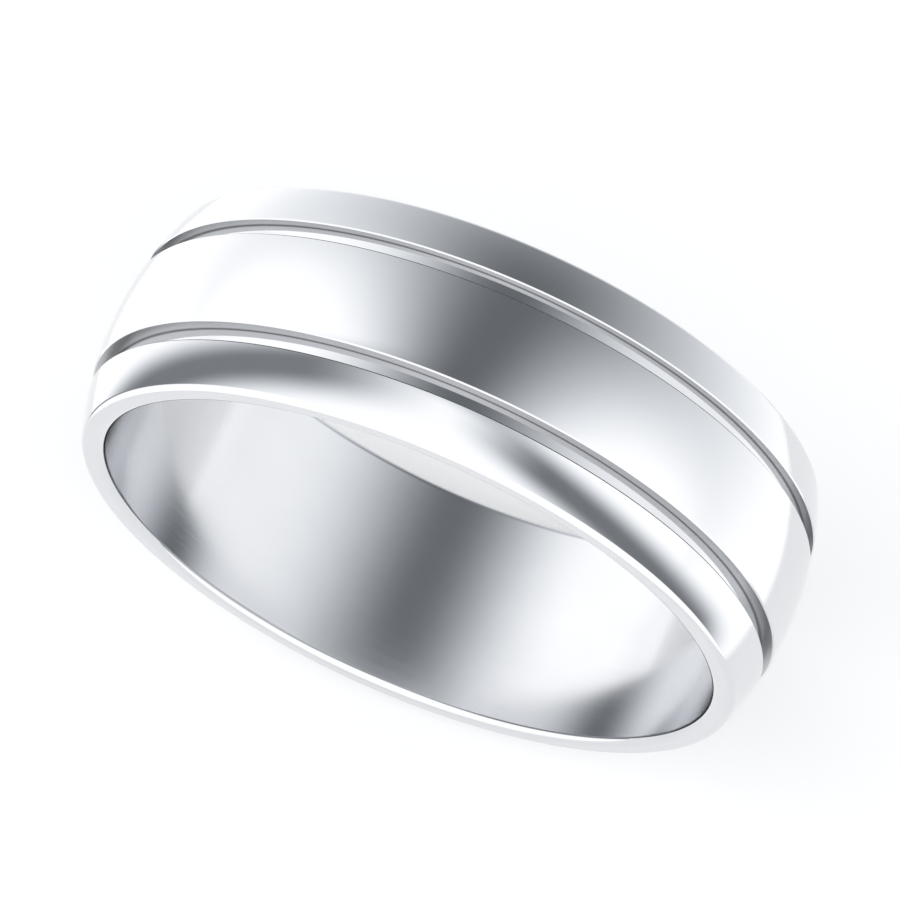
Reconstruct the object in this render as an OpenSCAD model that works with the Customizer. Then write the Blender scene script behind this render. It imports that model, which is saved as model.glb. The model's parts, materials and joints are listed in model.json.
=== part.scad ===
// Wedding band: one seamless ring of polished white precious metal.
// Millimetres. The finger hole runs along Y, the band stands on its edge with Z up,
// and the origin is the middle of the finger hole.

/* [Ring size] */
// Diameter of the finger hole
finger_hole_dia = 19.4; // [14:0.2:24]
// Width of the band, along the finger
band_width = 7; // [5.6:0.1:7.8]
// Thickness of the metal at the middle of the band, where it is thickest
wall_thickness = 1.35; // [1.2:0.05:2.4]
// Radius of the domed outside, seen in a cut across the band
dome_radius = 9.8; // [8:0.1:40]

/* [Grooves] */
// Width of the raised middle between the two grooves
centre_width = 3; // [1.6:0.1:3.8]
// Width of each groove
groove_width = 0.55; // [0.3:0.05:0.8]
// Thickness of the metal left under each groove
groove_metal_left = 0.8; // [0.5:0.05:1]
// Size of the small slope that takes the sharpness off each groove lip
groove_lip = 0.04; // [0.02:0.01:0.06]

/* [Edges] */
// Radius of the rounded edge of the finger hole
hole_edge_radius = 0.25; // [0.05:0.05:0.35]
// Radius of the rounded edge between the domed outside and each side face
outer_edge_radius = 0.25; // [0.05:0.05:0.35]

/* [Hidden] */

$fn = 180;
slack = 0.2;
half_width = band_width / 2;
hole_r = finger_hole_dia / 2;
crown_r = hole_r + wall_thickness;
dome_centre_r = crown_r - dome_radius;
groove_floor_r = hole_r + groove_metal_left;

// Centre of the outer edge rounding: it touches both the side face and the dome
outer_round_y = half_width - outer_edge_radius;
outer_round_r = dome_centre_r
    + sqrt(pow(dome_radius - outer_edge_radius, 2) - pow(outer_round_y, 2));
outer_round_angle = atan2(outer_round_y, outer_round_r - dome_centre_r);

// Radius of the dome at a distance y from the middle of the band
function dome_r(y) = dome_centre_r + sqrt(dome_radius * dome_radius - y * y);

// Cut across the metal before its edges and grooves are turned: straight inside, domed outside
module blank_section() {
    intersection() {
        translate([hole_r, -half_width])
            square([wall_thickness + slack, band_width]);
        translate([dome_centre_r, 0])
            circle(r = dome_radius);
    }
}

// Metal outside the rounded edge that joins the dome to the side face
module outer_edge_waste() {
    reach = outer_edge_radius + slack;
    difference() {
        polygon([
            [outer_round_r, outer_round_y],
            [outer_round_r, outer_round_y + reach],
            [outer_round_r + reach, outer_round_y + reach],
            [outer_round_r + reach * cos(outer_round_angle),
             outer_round_y + reach * sin(outer_round_angle)]
        ]);
        translate([outer_round_r, outer_round_y])
            circle(r = outer_edge_radius);
    }
}

// Metal outside the rounded edge of the finger hole
module hole_edge_waste() {
    difference() {
        translate([hole_r - slack, half_width - hole_edge_radius])
            square([slack + hole_edge_radius, slack + hole_edge_radius]);
        translate([hole_r + hole_edge_radius, half_width - hole_edge_radius])
            circle(r = hole_edge_radius);
    }
}

// Square-bottomed groove with a small slope at each lip
module groove_waste() {
    inner_y = centre_width / 2;
    outer_y = inner_y + groove_width;
    inner_lip_r = dome_r(inner_y);
    outer_lip_r = dome_r(outer_y);
    translate([groove_floor_r, inner_y])
        square([crown_r - groove_floor_r + slack, groove_width]);
    polygon([
        [inner_lip_r - groove_lip, inner_y + groove_lip],
        [inner_lip_r - groove_lip, inner_y],
        [inner_lip_r + slack, inner_y - groove_lip - slack],
        [inner_lip_r + slack, inner_y + groove_lip]
    ]);
    polygon([
        [outer_lip_r - groove_lip, outer_y - groove_lip],
        [outer_lip_r + slack, outer_y - groove_lip],
        [outer_lip_r + slack, outer_y + groove_lip + slack],
        [outer_lip_r - groove_lip, outer_y]
    ]);
}

module band_section() {
    difference() {
        blank_section();
        for (side = [0, 1]) {
            mirror([0, side]) {
                outer_edge_waste();
                hole_edge_waste();
                groove_waste();
            }
        }
    }
}

// The whole ring, turned in one piece
module band() {
    color([0.86, 0.87, 0.88])
        rotate([-90, 0, 0])
            rotate_extrude()
                band_section();
}

band();
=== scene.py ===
import json
import math

import bpy
import numpy as np
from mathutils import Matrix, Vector


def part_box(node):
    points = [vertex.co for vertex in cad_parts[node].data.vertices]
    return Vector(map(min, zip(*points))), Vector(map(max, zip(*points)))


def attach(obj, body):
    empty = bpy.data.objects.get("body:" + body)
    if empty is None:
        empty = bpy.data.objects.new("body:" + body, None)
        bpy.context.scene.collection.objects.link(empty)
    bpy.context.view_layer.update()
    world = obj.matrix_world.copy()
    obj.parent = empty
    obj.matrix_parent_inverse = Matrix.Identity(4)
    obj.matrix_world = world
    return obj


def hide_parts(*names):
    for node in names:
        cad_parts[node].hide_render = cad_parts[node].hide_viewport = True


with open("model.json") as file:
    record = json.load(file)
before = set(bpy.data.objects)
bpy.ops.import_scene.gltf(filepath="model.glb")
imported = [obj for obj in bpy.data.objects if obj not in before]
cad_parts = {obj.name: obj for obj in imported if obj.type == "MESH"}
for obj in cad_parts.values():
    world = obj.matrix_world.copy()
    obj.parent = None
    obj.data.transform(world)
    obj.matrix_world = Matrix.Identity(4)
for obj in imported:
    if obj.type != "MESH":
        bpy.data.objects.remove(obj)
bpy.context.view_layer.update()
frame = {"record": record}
mm = 0.001

print("stage: band mesh")

# sizes of the band, in metres; the hole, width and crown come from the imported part
bandShape = {
    "domeRadius": 9.8 * mm,  # arc across the outside, edge to edge
    "centreWidth": 3.0 * mm,  # polished middle, groove to groove
    "grooveWidth": 0.55 * mm,
    "grooveMetalLeft": 0.8 * mm,  # metal between a groove's floor and the finger hole
    "grooveLip": 0.04 * mm,  # small bevel on each groove's mouth
    "holeEdgeRadius": 0.25 * mm,
    "outerEdgeRadius": 0.25 * mm,
    "turnSteps": 640,  # grid steps round the finger
    "boreSteps": 14,
    "edgeSteps": 9,
    "faceSteps": 2,
    "domeSteps": 10,
    "centreSteps": 22,
    "grooveSteps": 3,
}
finishOrder = ["polish", "bore", "wall", "floor"]


def lineRun(start, end, steps, finish):
    # straight stretch of the profile: points on the line, one normal to the right of the travel
    t = np.linspace(0.0, 1.0, steps + 1)[:, None]
    points = np.array(start) * (1 - t) + np.array(end) * t
    along = np.array(end) - np.array(start)
    normal = np.array([along[1], -along[0]]) / np.hypot(*along)
    return points, np.repeat(normal[None], steps + 1, 0), finish


def arcRun(centre, radius, fromAngle, toAngle, steps, finish):
    # arc of the profile: centre + radius * (cos, sin); its normal is the same (cos, sin)
    a = np.linspace(fromAngle, toAngle, steps + 1)
    ray = np.stack([np.cos(a), np.sin(a)], 1)
    return np.array(centre) + radius * ray, ray, finish


def bandProfile(shape, holeRadius, crownRadius, width):
    # closed section in (distance from the axis, place along the axis), walked so that
    # the metal lies on the left of the travel and the normals point out of it
    half = width / 2
    domeCentre = crownRadius - shape["domeRadius"]
    holeEdge, outerEdge = shape["holeEdgeRadius"], shape["outerEdgeRadius"]
    # outer rounding: touches the side face and the dome from inside
    outerY = half - outerEdge
    outerAngle = math.asin(outerY / (shape["domeRadius"] - outerEdge))
    outerR = domeCentre + (shape["domeRadius"] - outerEdge) * math.cos(outerAngle)
    grooveIn = shape["centreWidth"] / 2
    grooveOut = grooveIn + shape["grooveWidth"]
    floorR = holeRadius + shape["grooveMetalLeft"]
    lip = shape["grooveLip"]

    def domeR(y):
        return domeCentre + math.sqrt(shape["domeRadius"] ** 2 - y * y)

    def domeAngle(y):
        return math.asin(y / shape["domeRadius"])

    def groove(side):
        inner, outer = grooveIn * side, grooveOut * side
        first, last = (inner, outer) if side > 0 else (outer, inner)
        return [
            lineRun((domeR(first - lip), first - lip), (domeR(first) - lip, first), 1, "polish"),
            lineRun((domeR(first) - lip, first), (floorR, first), shape["grooveSteps"], "wall"),
            lineRun((floorR, first), (floorR, last), shape["grooveSteps"], "floor"),
            lineRun((floorR, last), (domeR(last) - lip, last), shape["grooveSteps"], "wall"),
            lineRun((domeR(last) - lip, last), (domeR(last + lip), last + lip), 1, "polish"),
        ]

    def dome(fromY, toY, steps):
        return arcRun((domeCentre, 0), shape["domeRadius"], domeAngle(fromY), domeAngle(toY), steps, "polish")

    def rounding(r, y, radius, fromAngle, toAngle):
        return arcRun((r, y), radius, fromAngle, toAngle, shape["edgeSteps"], "polish")

    quarter = math.pi / 2
    holeR, holeY = holeRadius + holeEdge, half - holeEdge
    touchY = shape["domeRadius"] * math.sin(outerAngle)
    return [
        lineRun((holeRadius, holeY), (holeRadius, -holeY), shape["boreSteps"], "bore"),
        rounding(holeR, -holeY, holeEdge, -2 * quarter, -quarter),
        lineRun((holeR, -half), (outerR, -half), shape["faceSteps"], "polish"),
        rounding(outerR, -outerY, outerEdge, -quarter, -outerAngle),
        dome(-touchY, -grooveOut - lip, shape["domeSteps"]),
        *groove(-1),
        dome(-grooveIn + lip, grooveIn - lip, shape["centreSteps"]),
        *groove(1),
        dome(grooveOut + lip, touchY, shape["domeSteps"]),
        rounding(outerR, outerY, outerEdge, outerAngle, quarter),
        lineRun((outerR, half), (holeR, half), shape["faceSteps"], "polish"),
        rounding(holeR, holeY, holeEdge, quarter, 2 * quarter),
    ]


def turnedMesh(name, runs, turnSteps):
    # profile carried round the Y axis: x = r sin a, z = r cos a, and each corner keeps the
    # exact normal of its own run, so arcs shade smooth and groove corners stay crisp
    section = np.concatenate([points[:-1] for points, _, _ in runs])
    startNormal = np.concatenate([normals[:-1] for _, normals, _ in runs])
    endNormal = np.concatenate([normals[1:] for _, normals, _ in runs])
    finish = np.concatenate([np.full(len(p) - 1, finishOrder.index(f)) for p, _, f in runs])
    count = len(section)
    angle = np.linspace(0, 2 * np.pi, turnSteps, endpoint=False)

    def turned(pair, a):
        ringSin, ringCos = np.sin(a)[:, None], np.cos(a)[:, None]
        along = np.broadcast_to(pair[None, :, 1], (len(a), count))
        return np.stack([ringSin * pair[None, :, 0], along, ringCos * pair[None, :, 0]], -1)

    verts = turned(section, angle).reshape(-1, 3)
    j, k = np.meshgrid(np.arange(turnSteps), np.arange(count), indexing="ij")
    jNext, kNext = (j + 1) % turnSteps, (k + 1) % count
    quads = np.stack([j * count + k, j * count + kNext, jNext * count + kNext, jNext * count + k], -1)
    quads = quads.reshape(-1, 4)
    nextAngle = np.roll(angle, -1)
    normals = np.stack([turned(startNormal, angle), turned(endNormal, angle),
                        turned(endNormal, nextAngle), turned(startNormal, nextAngle)], 2)
    normals = normals.reshape(-1, 3)
    # turn the faces over if their corners run against the normals
    a, b, c = (verts[quads[0, i]] for i in range(3))
    if np.dot(np.cross(b - a, c - a), normals[0]) < 0:
        quads = quads[:, ::-1]
        normals = normals.reshape(-1, 4, 3)[:, ::-1].reshape(-1, 3)

    mesh = bpy.data.meshes.new(name)
    mesh.vertices.add(len(verts))
    mesh.vertices.foreach_set("co", verts.astype(np.float32).ravel())
    mesh.loops.add(quads.size)
    mesh.loops.foreach_set("vertex_index", quads.astype(np.int32).ravel())
    mesh.polygons.add(len(quads))
    mesh.polygons.foreach_set("loop_start", np.arange(0, quads.size, 4, dtype=np.int32))
    mesh.polygons.foreach_set("material_index", np.tile(finish, turnSteps).astype(np.int32))
    mesh.update(calc_edges=True)
    mesh.validate()
    mesh.polygons.foreach_set("use_smooth", np.ones(len(quads), bool))
    mesh.normals_split_custom_set(normals.tolist())
    mesh.update()
    piece = bpy.data.objects.new(name, mesh)
    bpy.context.scene.collection.objects.link(piece)
    return piece


boxLow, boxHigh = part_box("band")
fingerHole = next(m for m in frame["record"]["mounts"] if m["name"] == "finger_hole")
holeRadius = fingerHole["dims"]["r_mm"] * mm
crownRadius = (boxHigh.z - boxLow.z) / 2
bandWidth = boxHigh.y - boxLow.y
runs = bandProfile(bandShape, holeRadius, crownRadius, bandWidth)
band = turnedMesh("weddingBand", runs, bandShape["turnSteps"])
print("  triangles", 2 * len(band.data.polygons))

print("stage: metals")

metalLook = {
    "colour": (0.715, 0.725, 0.745),
    "polishRoughness": 0.06,
    "boreRoughness": 0.15,
    "grooveRoughness": 0.07,
    "wallRoughness": 0.32,
    "wallPaintedShade": 0.72,  # share of the metal's colour left on the grooves' walls, a painted shade for the grooves' hollow
    "footPaintedShade": 0.12,  # the same at the foot of the walls, a painted shade in the groove's inner corner
    # how far up the walls the painted shade at the foot fades out
    "paintedShadeHeight": 0.1 * mm,
    "lineDetail": 3.0,
    "markScale": 420.0,  # wiping marks to the metre
    "markDetail": 4.0,
    "sectorStretch": 1.5,  # how much the fine lines change along their length
}


def nodeOf(tree, kind, label="", **settings):
    node = tree.nodes.new(kind)
    node.label = label
    for key, value in settings.items():
        setattr(node, key, value)
    return node


def setOrLink(tree, socket, value):
    if isinstance(value, bpy.types.NodeSocket):
        tree.links.new(value, socket)
    elif value is not None:
        socket.default_value = value


def maths(tree, operation, first, second=None, third=None, clamp=False):
    node = nodeOf(tree, "ShaderNodeMath", operation=operation, use_clamp=clamp)
    for socket, value in zip(node.inputs, (first, second, third)):
        setOrLink(tree, socket, value)
    return node.outputs[0]


def smoothStep(tree, value, low, high, outLow=0.0, outHigh=1.0):
    node = nodeOf(tree, "ShaderNodeMapRange", interpolation_type="SMOOTHSTEP")
    for socket, item in zip(node.inputs, (value, low, high, outLow, outHigh)):
        setOrLink(tree, socket, item)
    return node.outputs[0]


def ringCoordinates(tree):
    # place of each point, its three parts, and its distance from the finger axis: root of x2 + z2
    place = nodeOf(tree, "ShaderNodeTexCoord").outputs["Object"]
    split = nodeOf(tree, "ShaderNodeSeparateXYZ")
    tree.links.new(place, split.inputs[0])
    x, y, z = split.outputs
    squares = maths(tree, "ADD", maths(tree, "MULTIPLY", x, x), maths(tree, "MULTIPLY", z, z))
    radius = maths(tree, "SQRT", squares)
    return place, x, y, z, radius


def metalMaterial(name, roughness, lineDepth, lineSize, spread, shadeFootRadius=None):
    material = bpy.data.materials.new(name)
    material.use_nodes = True
    tree = material.node_tree
    tree.nodes.clear()
    place, x, y, z, radius = ringCoordinates(tree)
    # across the lines the pattern is fine, along them it hardly changes
    lines = nodeOf(tree, "ShaderNodeCombineXYZ")
    setOrLink(tree, lines.inputs[0], maths(tree, "MULTIPLY", radius, 1 / lineSize))
    setOrLink(tree, lines.inputs[1], maths(tree, "MULTIPLY", y, 1 / lineSize))
    sector = maths(tree, "ARCTAN2", x, z)
    setOrLink(tree, lines.inputs[2], maths(tree, "MULTIPLY", maths(tree, "ABSOLUTE", sector),
                                       metalLook["sectorStretch"]))
    lineNoise = nodeOf(tree, "ShaderNodeTexNoise", "fine lines round the band")
    tree.links.new(lines.outputs[0], lineNoise.inputs["Vector"])
    lineNoise.inputs["Scale"].default_value = 1.0
    lineNoise.inputs["Detail"].default_value = metalLook["lineDetail"]
    cloud = nodeOf(tree, "ShaderNodeTexNoise", "wiping marks")
    tree.links.new(place, cloud.inputs["Vector"])
    cloud.inputs["Scale"].default_value = metalLook["markScale"]
    cloud.inputs["Detail"].default_value = metalLook["markDetail"]
    surface = nodeOf(tree, "ShaderNodeBsdfPrincipled")
    surface.inputs["Metallic"].default_value = 1.0
    ramp = nodeOf(tree, "ShaderNodeValToRGB", "colour drift")
    colour = metalLook["colour"]
    ramp.color_ramp.elements[0].position, ramp.color_ramp.elements[1].position = 0.3, 0.7
    ramp.color_ramp.elements[0].color = (*(c * (1 - spread) for c in colour), 1)
    ramp.color_ramp.elements[1].color = (*colour, 1)
    tree.links.new(cloud.outputs["Fac"], ramp.inputs[0])
    tint = ramp.outputs[0]
    if shadeFootRadius is not None:
        # painted shade, darker towards the foot of the groove walls: a smooth step of the distance from the
        # axis
        shade = smoothStep(tree, radius, shadeFootRadius, shadeFootRadius + metalLook["paintedShadeHeight"],
                           metalLook["footPaintedShade"], metalLook["wallPaintedShade"])
        shaded = nodeOf(tree, "ShaderNodeVectorMath", "foot of the wall", operation="SCALE")
        tree.links.new(tint, shaded.inputs[0])
        tree.links.new(shade, shaded.inputs["Scale"])
        tint = shaded.outputs[0]
    tree.links.new(tint, surface.inputs["Base Color"])
    mixed = maths(tree, "MULTIPLY_ADD", lineNoise.outputs["Fac"], roughness * 0.5, roughness * 0.75)
    tree.links.new(mixed, surface.inputs["Roughness"])
    bump = nodeOf(tree, "ShaderNodeBump")
    bump.inputs["Strength"].default_value = 1.0
    bump.inputs["Distance"].default_value = lineDepth
    tree.links.new(lineNoise.outputs["Fac"], bump.inputs["Height"])
    tree.links.new(bump.outputs[0], surface.inputs["Normal"])
    output = nodeOf(tree, "ShaderNodeOutputMaterial")
    tree.links.new(surface.outputs[0], output.inputs[0])
    return material


metals = {
    "polish": metalMaterial("polishedOutside", metalLook["polishRoughness"], 0.00002 * mm, 0.03 * mm, 0.02),
    "bore": metalMaterial("buffedBore", metalLook["boreRoughness"], 0.00005 * mm, 0.05 * mm, 0.04),
    # the groove walls get a painted shade, darkest at their foot
    "wall": metalMaterial("grooveWall", metalLook["wallRoughness"], 0.00005 * mm, 0.02 * mm, 0.04,
                          holeRadius + bandShape["grooveMetalLeft"]),
    "floor": metalMaterial("grooveFloor", metalLook["grooveRoughness"], 0.00005 * mm, 0.02 * mm, 0.04),
}
for finish in finishOrder:
    band.data.materials.append(metals[finish])
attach(band, "root")
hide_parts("band")

print("stage: floor")

floorLook = {
    "reach": 1.5,  # half the floor's side, in metres
    "colour": (0.84, 0.84, 0.84),
    "glow": 0.26,  # own light, so that the open floor reads as white
    "plateX": (-20.5 * mm, 25.0 * mm),  # the metal shows floor only this near, and studio beyond
    "plateY": (-27.0 * mm, 27.0 * mm),
    "plateSoft": 1.5 * mm,
}


def makeFloor(look, height):
    # flat square: four corners at one height
    reach = look["reach"]
    mesh = bpy.data.meshes.new("floor")
    corners = [(x * reach, y * reach, height) for x, y in ((-1, -1), (1, -1), (1, 1), (-1, 1))]
    mesh.from_pydata(corners, [], [(0, 1, 2, 3)])
    material = bpy.data.materials.new("whiteSweep")
    material.use_nodes = True
    tree = material.node_tree
    tree.nodes.clear()
    place, x, y, z, radius = ringCoordinates(tree)
    soft = look["plateSoft"]
    onPlate = 1.0
    for part, (low, high) in ((x, look["plateX"]), (y, look["plateY"])):
        onPlate = maths(tree, "MULTIPLY", onPlate, smoothStep(tree, part, low - soft, low + soft))
        onPlate = maths(tree, "MULTIPLY", onPlate, smoothStep(tree, part, high - soft, high + soft, 1.0, 0.0))
    matt = nodeOf(tree, "ShaderNodeBsdfDiffuse")
    matt.inputs["Color"].default_value = (*look["colour"], 1)
    rays = nodeOf(tree, "ShaderNodeLightPath")
    byMetal = maths(tree, "MAXIMUM", rays.outputs["Is Glossy Ray"], rays.outputs["Is Transmission Ray"])
    glow = nodeOf(tree, "ShaderNodeEmission")
    looked = maths(tree, "MAXIMUM", rays.outputs["Is Camera Ray"], byMetal)
    setOrLink(tree, glow.inputs["Strength"], maths(tree, "MULTIPLY", looked, look["glow"]))
    both = nodeOf(tree, "ShaderNodeAddShader")
    tree.links.new(matt.outputs[0], both.inputs[0])
    tree.links.new(glow.outputs[0], both.inputs[1])
    clear = nodeOf(tree, "ShaderNodeBsdfTransparent")
    shown = nodeOf(tree, "ShaderNodeMixShader")
    beyond = maths(tree, "SUBTRACT", 1.0, onPlate)
    setOrLink(tree, shown.inputs[0], maths(tree, "MULTIPLY", byMetal, beyond))
    tree.links.new(both.outputs[0], shown.inputs[1])
    tree.links.new(clear.outputs[0], shown.inputs[2])
    output = nodeOf(tree, "ShaderNodeOutputMaterial")
    tree.links.new(shown.outputs[0], output.inputs[0])
    mesh.materials.append(material)
    floor = bpy.data.objects.new("floor", mesh)
    bpy.context.scene.collection.objects.link(floor)
    return floor


makeFloor(floorLook, boxLow.z)

print("stage: studio light")

# a white studio all round, with dark cards that the polished metal shows; angles in degrees.
# azimuth runs from +X towards +Y and fromTop down from straight overhead. A card is halfWide to
# each side of its middle line and halfDeep along it, its end nearer the top counted first;
# taper widens it downwards, bend bows it sideways, and takes is the share of light it stops
studioLook = {
    "level": 1.42,
    "shadeTint": (0.88, 0.94, 1.0),  # colour of what little light a card lets through
    "cards": [
        {"name": "backFan", "azimuth": 83, "fromTop": 45, "roll": 0, "halfWide": 35, "halfDeep": 46,
         "softSide": 0.95, "softTop": 0.1, "softFoot": 1.0, "taper": 0.45, "bend": 0.0, "takes": 0.86},
        {"name": "leftBar", "azimuth": 182, "fromTop": 87, "roll": -4, "halfWide": 5.6, "halfDeep": 66,
         "softSide": 0.75, "softTop": 0.4, "softFoot": 0.2, "taper": -0.35, "bend": -0.25, "takes": 0.8},
        {"name": "rightBar", "azimuth": -12, "fromTop": 70, "roll": 7, "halfWide": 5, "halfDeep": 52,
         "softSide": 0.8, "softTop": 0.4, "softFoot": 0.25, "taper": -0.1, "bend": 0.3, "takes": 0.82},
    ],
}


def cardShade(tree, direction, card):
    # 1 well inside the card and 0 outside: along is the angle down the card over its half depth,
    # across the angle sideways over its half width there, and each border is a soft step
    azimuth, fromTop, roll = (math.radians(card[key]) for key in ("azimuth", "fromTop", "roll"))
    middle = Vector((math.sin(fromTop) * math.cos(azimuth), math.sin(fromTop) * math.sin(azimuth),
                     math.cos(fromTop)))
    level = Vector((-math.sin(azimuth), math.cos(azimuth), 0))
    upward = middle.cross(level)
    sideways = math.cos(roll) * level + math.sin(roll) * upward
    upward = math.cos(roll) * upward - math.sin(roll) * level

    def part(axis):
        dot = nodeOf(tree, "ShaderNodeVectorMath", operation="DOT_PRODUCT")
        tree.links.new(direction, dot.inputs[0])
        dot.inputs[1].default_value = axis
        return dot.outputs["Value"]

    along = maths(tree, "ARCTAN2", part(-upward), part(middle))
    along = maths(tree, "MULTIPLY", along, 1 / math.radians(card["halfDeep"]))
    across = maths(tree, "ARCSINE", part(sideways))
    across = maths(tree, "MULTIPLY", across, 1 / math.radians(card["halfWide"]))
    widening = maths(tree, "MAXIMUM", maths(tree, "MULTIPLY_ADD", along, card["taper"], 1.0), 0.05)
    bow = maths(tree, "MULTIPLY", maths(tree, "MULTIPLY", along, along), card["bend"])
    across = maths(tree, "ABSOLUTE", maths(tree, "SUBTRACT", maths(tree, "DIVIDE", across, widening), bow))
    side = smoothStep(tree, across, 1 - card["softSide"], 1 + card["softSide"], 1.0, 0.0)
    top = smoothStep(tree, along, -1 - card["softTop"], -1 + card["softTop"])
    foot = smoothStep(tree, along, 1 - card["softFoot"], 1 + card["softFoot"], 1.0, 0.0)
    return maths(tree, "MULTIPLY", side, maths(tree, "MULTIPLY", top, foot))


def makeWorld(look):
    world = bpy.data.worlds.new("studio")
    world.use_nodes = True
    bpy.context.scene.world = world
    tree = world.node_tree
    tree.nodes.clear()
    direction = nodeOf(tree, "ShaderNodeTexCoord").outputs["Generated"]
    kept = 1.0
    for card in look["cards"]:
        passed = maths(tree, "MULTIPLY_ADD", cardShade(tree, direction, card), -card["takes"], 1.0)
        kept = maths(tree, "MULTIPLY", kept, passed)
    seen = nodeOf(tree, "ShaderNodeLightPath").outputs["Is Camera Ray"]
    tint = nodeOf(tree, "ShaderNodeMix", data_type="RGBA")
    tint.inputs["A"].default_value = (*look["shadeTint"], 1)
    tint.inputs["B"].default_value = (1, 1, 1, 1)
    setOrLink(tree, tint.inputs["Factor"], maths(tree, "MAXIMUM", kept, seen))
    strength = nodeOf(tree, "ShaderNodeMix", data_type="FLOAT")
    setOrLink(tree, strength.inputs["Factor"], seen)
    setOrLink(tree, strength.inputs["A"], maths(tree, "MULTIPLY", kept, look["level"]))
    strength.inputs["B"].default_value = 1.0
    background = nodeOf(tree, "ShaderNodeBackground")
    tree.links.new(tint.outputs["Result"], background.inputs["Color"])
    tree.links.new(strength.outputs[0], background.inputs["Strength"])
    output = nodeOf(tree, "ShaderNodeOutputWorld")
    tree.links.new(background.outputs[0], output.inputs[0])


makeWorld(studioLook)

print("stage: camera")

cameraLook = {
    "azimuth": 22.556,  # degrees round the band, from straight in front
    "elevation": 66.621,  # degrees above the horizon
    "place": (26.348 * mm, -63.380 * mm, 160.864 * mm),
    "lens": 235.16,  # millimetres, on a 36 mm sensor
}
cameraData = bpy.data.cameras.new("camera")
cameraData.lens = cameraLook["lens"]
cameraData.sensor_width = 36.0
cameraData.clip_start, cameraData.clip_end = 0.005, 20.0
camera = bpy.data.objects.new("camera", cameraData)
camera.location = cameraLook["place"]
camera.rotation_euler = (math.radians(90 - cameraLook["elevation"]), 0, math.radians(cameraLook["azimuth"]))
bpy.context.scene.collection.objects.link(camera)
bpy.context.scene.camera = camera
bpy.context.scene.view_settings.view_transform = "Standard"

print("stage: sizes")
